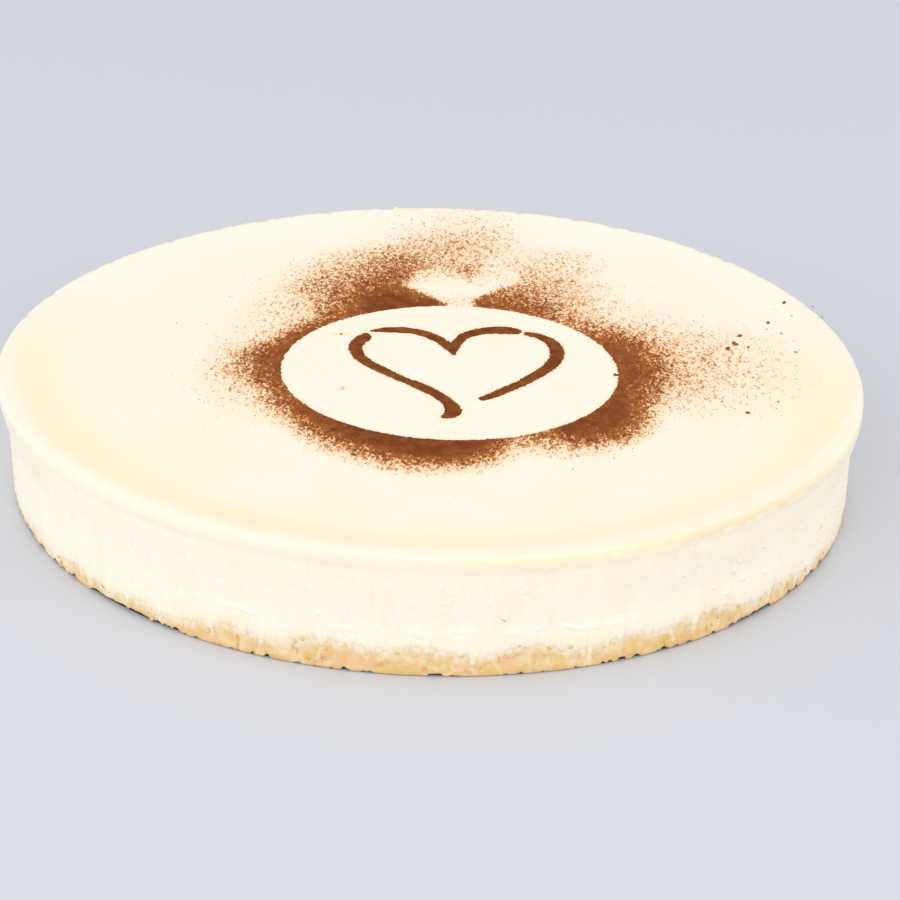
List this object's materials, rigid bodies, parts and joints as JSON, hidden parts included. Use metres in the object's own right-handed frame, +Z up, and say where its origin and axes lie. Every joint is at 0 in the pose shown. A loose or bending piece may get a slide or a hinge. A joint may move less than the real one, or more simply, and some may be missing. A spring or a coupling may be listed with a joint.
{
  "type": "baked cheesecake",
  "caption": "Shallow round baked cheesecake with a soft raised lip and a biscuit base, standing on its tin's loose base.",
  "frame": {"origin": "centre of the tin base's underside, where the cake stands", "axes": "+Z up through the cake's thickness, -Y to the front, +X to the right"},
  "size_m": [0.23, 0.23, 0.0336],
  "materials": {
    "filling": "smooth, slightly satin pale cream curd",
    "biscuit": "rough pressed crumb, golden brown",
    "tin": "dark non-stick coating on sheet steel",
    "cocoa": "dry sifted cocoa powder, reddish brown"
  },
  "bodies": {
    "root": {"filling": "filling", "biscuit_base": "biscuit", "tin_base": "tin"}
  },
  "joints": []
}
